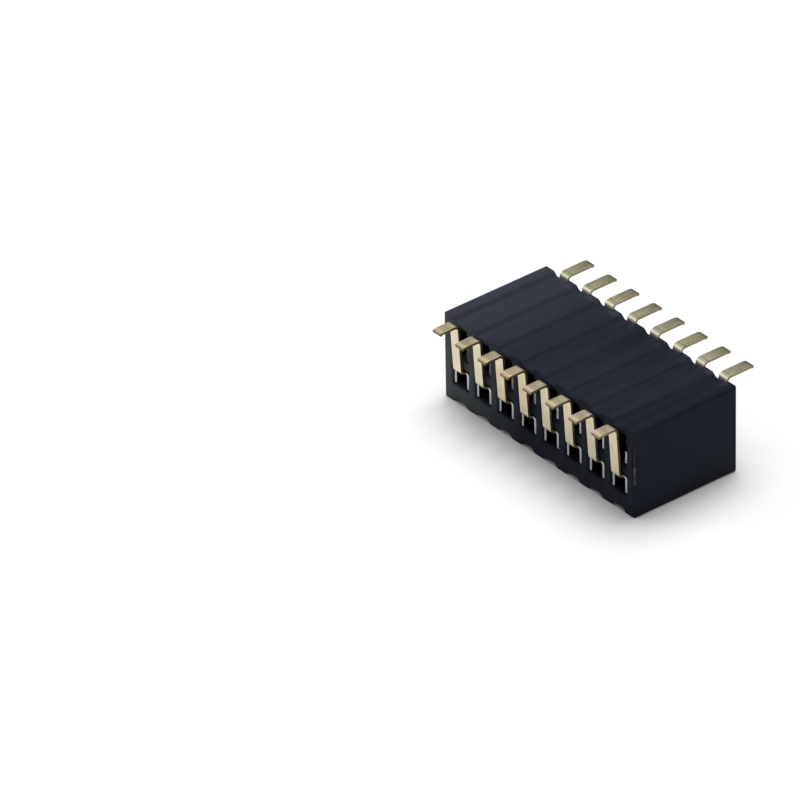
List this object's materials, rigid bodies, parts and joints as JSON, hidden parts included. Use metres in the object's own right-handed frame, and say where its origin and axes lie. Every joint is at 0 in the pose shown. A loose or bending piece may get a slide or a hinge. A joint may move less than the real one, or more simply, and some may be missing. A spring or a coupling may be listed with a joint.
{
  "type": "female pin header",
  "caption": "Low dual-row fine-pitch socket header in black plastic, lying on its side, with gold stamped contacts whose flat feet bend out from both open faces",
  "frame": {"origin": "centre of the housing's resting face, on the top of a rib of the far side wall", "axes": "+X along the rows towards position 8, +Y out of the mating face, +Z towards the board that the feet are soldered to, as the part lies in the picture"},
  "size_m": [0.0108, 0.0073, 0.0036],
  "materials": {
    "housing_plastic": "moulded matt black with a blue tone and faint streaks",
    "contact_gold": "stamped copper alloy with pale gold plating, satin"
  },
  "bodies": {
    "root": {"housing": "housing_plastic", "rear_contact_1": "contact_gold", "rear_contact_2": "contact_gold", "rear_contact_3": "contact_gold", "rear_contact_4": "contact_gold", "rear_contact_5": "contact_gold", "rear_contact_6": "contact_gold", "rear_contact_7": "contact_gold", "rear_contact_8": "contact_gold", "front_contact_1": "contact_gold", "front_contact_2": "contact_gold", "front_contact_3": "contact_gold", "front_contact_4": "contact_gold", "front_contact_5": "contact_gold", "front_contact_6": "contact_gold", "front_contact_7": "contact_gold", "front_contact_8": "contact_gold"}
  },
  "joints": []
}
